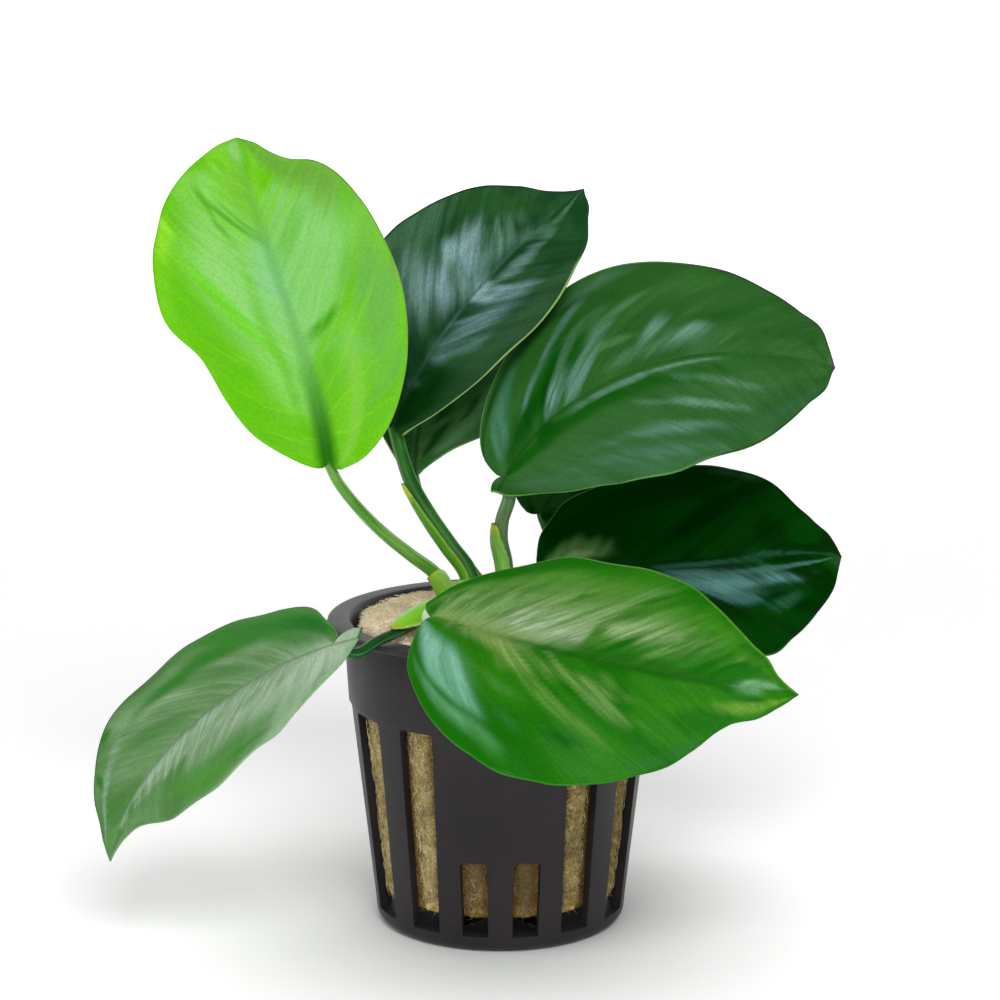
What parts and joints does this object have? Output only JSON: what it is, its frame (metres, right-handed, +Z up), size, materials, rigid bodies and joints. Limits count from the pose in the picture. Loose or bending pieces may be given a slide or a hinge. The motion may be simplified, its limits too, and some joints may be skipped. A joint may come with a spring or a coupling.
{
  "type": "potted anubias",
  "caption": "Broad-leaved anubias aquarium plant with drooping glossy leaves, rooted on rockwool in a black slotted net pot.",
  "frame": {"origin": "centre of the pot's flat underside", "axes": "+Z up, -Y towards the pot's plain front panel, +X to the right of that panel"},
  "size_m": [0.1212, 0.0895, 0.1266],
  "materials": {
    "pot_plastic": "charcoal black injection-moulded plastic with a satin surface",
    "rockwool": "golden beige matted mineral fibre, fully rough",
    "young_leaf": "bright yellow-green waxy young leaf with darker midrib and fine side veins",
    "mature_leaf": "deep green leathery leaf with a satin gloss, pale streaks along its side veins and thin pale margins",
    "leaf_stalk": "smooth green stalk with a satin gloss",
    "leaf_sheath": "pale yellow-green papery leaf sheath with a brownish tip",
    "rhizome_skin": "dull green-brown creeping stem with ring scars"
  },
  "bodies": {
    "root": {"net_pot": "pot_plastic", "rockwool": "rockwool", "rhizome": "rhizome_skin", "leaf_1_blade": "young_leaf", "leaf_1_stalk": "leaf_stalk", "leaf_2_blade": "mature_leaf", "leaf_2_stalk": "leaf_stalk", "leaf_3_blade": "mature_leaf", "leaf_3_stalk": "leaf_stalk", "leaf_4_blade": "mature_leaf", "leaf_4_stalk": "leaf_stalk", "leaf_5_blade": "mature_leaf", "leaf_5_stalk": "leaf_stalk", "leaf_6_blade": "mature_leaf", "leaf_6_stalk": "leaf_stalk", "leaf_7_blade": "mature_leaf", "leaf_7_stalk": "leaf_stalk", "leaf_8_blade": "mature_leaf", "leaf_8_stalk": "leaf_stalk", "leaf_1_sheath": "leaf_sheath", "leaf_2_sheath": "leaf_sheath", "leaf_4_sheath": "leaf_sheath", "leaf_7_sheath": "leaf_sheath", "leaf_8_sheath": "leaf_sheath"}
  },
  "joints": []
}
